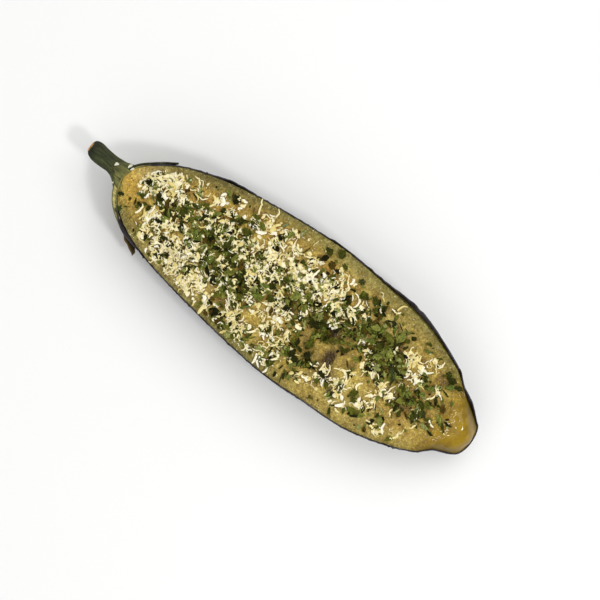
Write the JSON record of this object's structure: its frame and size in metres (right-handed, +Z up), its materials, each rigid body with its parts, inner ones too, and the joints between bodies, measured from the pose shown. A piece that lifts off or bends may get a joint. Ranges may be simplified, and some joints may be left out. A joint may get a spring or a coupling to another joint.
{
  "type": "grilled eggplant half",
  "caption": "Half of a grilled eggplant, cut face up on its skin with stem and calyx left on, strewn with dried parsley flakes and grated cheese.",
  "frame": {"origin": "under the middle of the whole half, stem included, on the surface that it lies on", "axes": "+X from the stem to the blossom tip, +Z up out of the cut face, +Y to the left seen along +X"},
  "size_m": [0.219, 0.0677, 0.031],
  "materials": {
    "flesh_and_skin": "oily grilled flesh, golden to olive at the rim, on dark purple-black skin",
    "stem": "dull dark green, fibrous, charred at the sepal tips"
  },
  "bodies": {
    "root": {"half_eggplant": "flesh_and_skin", "stem_calyx": "stem"}
  },
  "joints": []
}
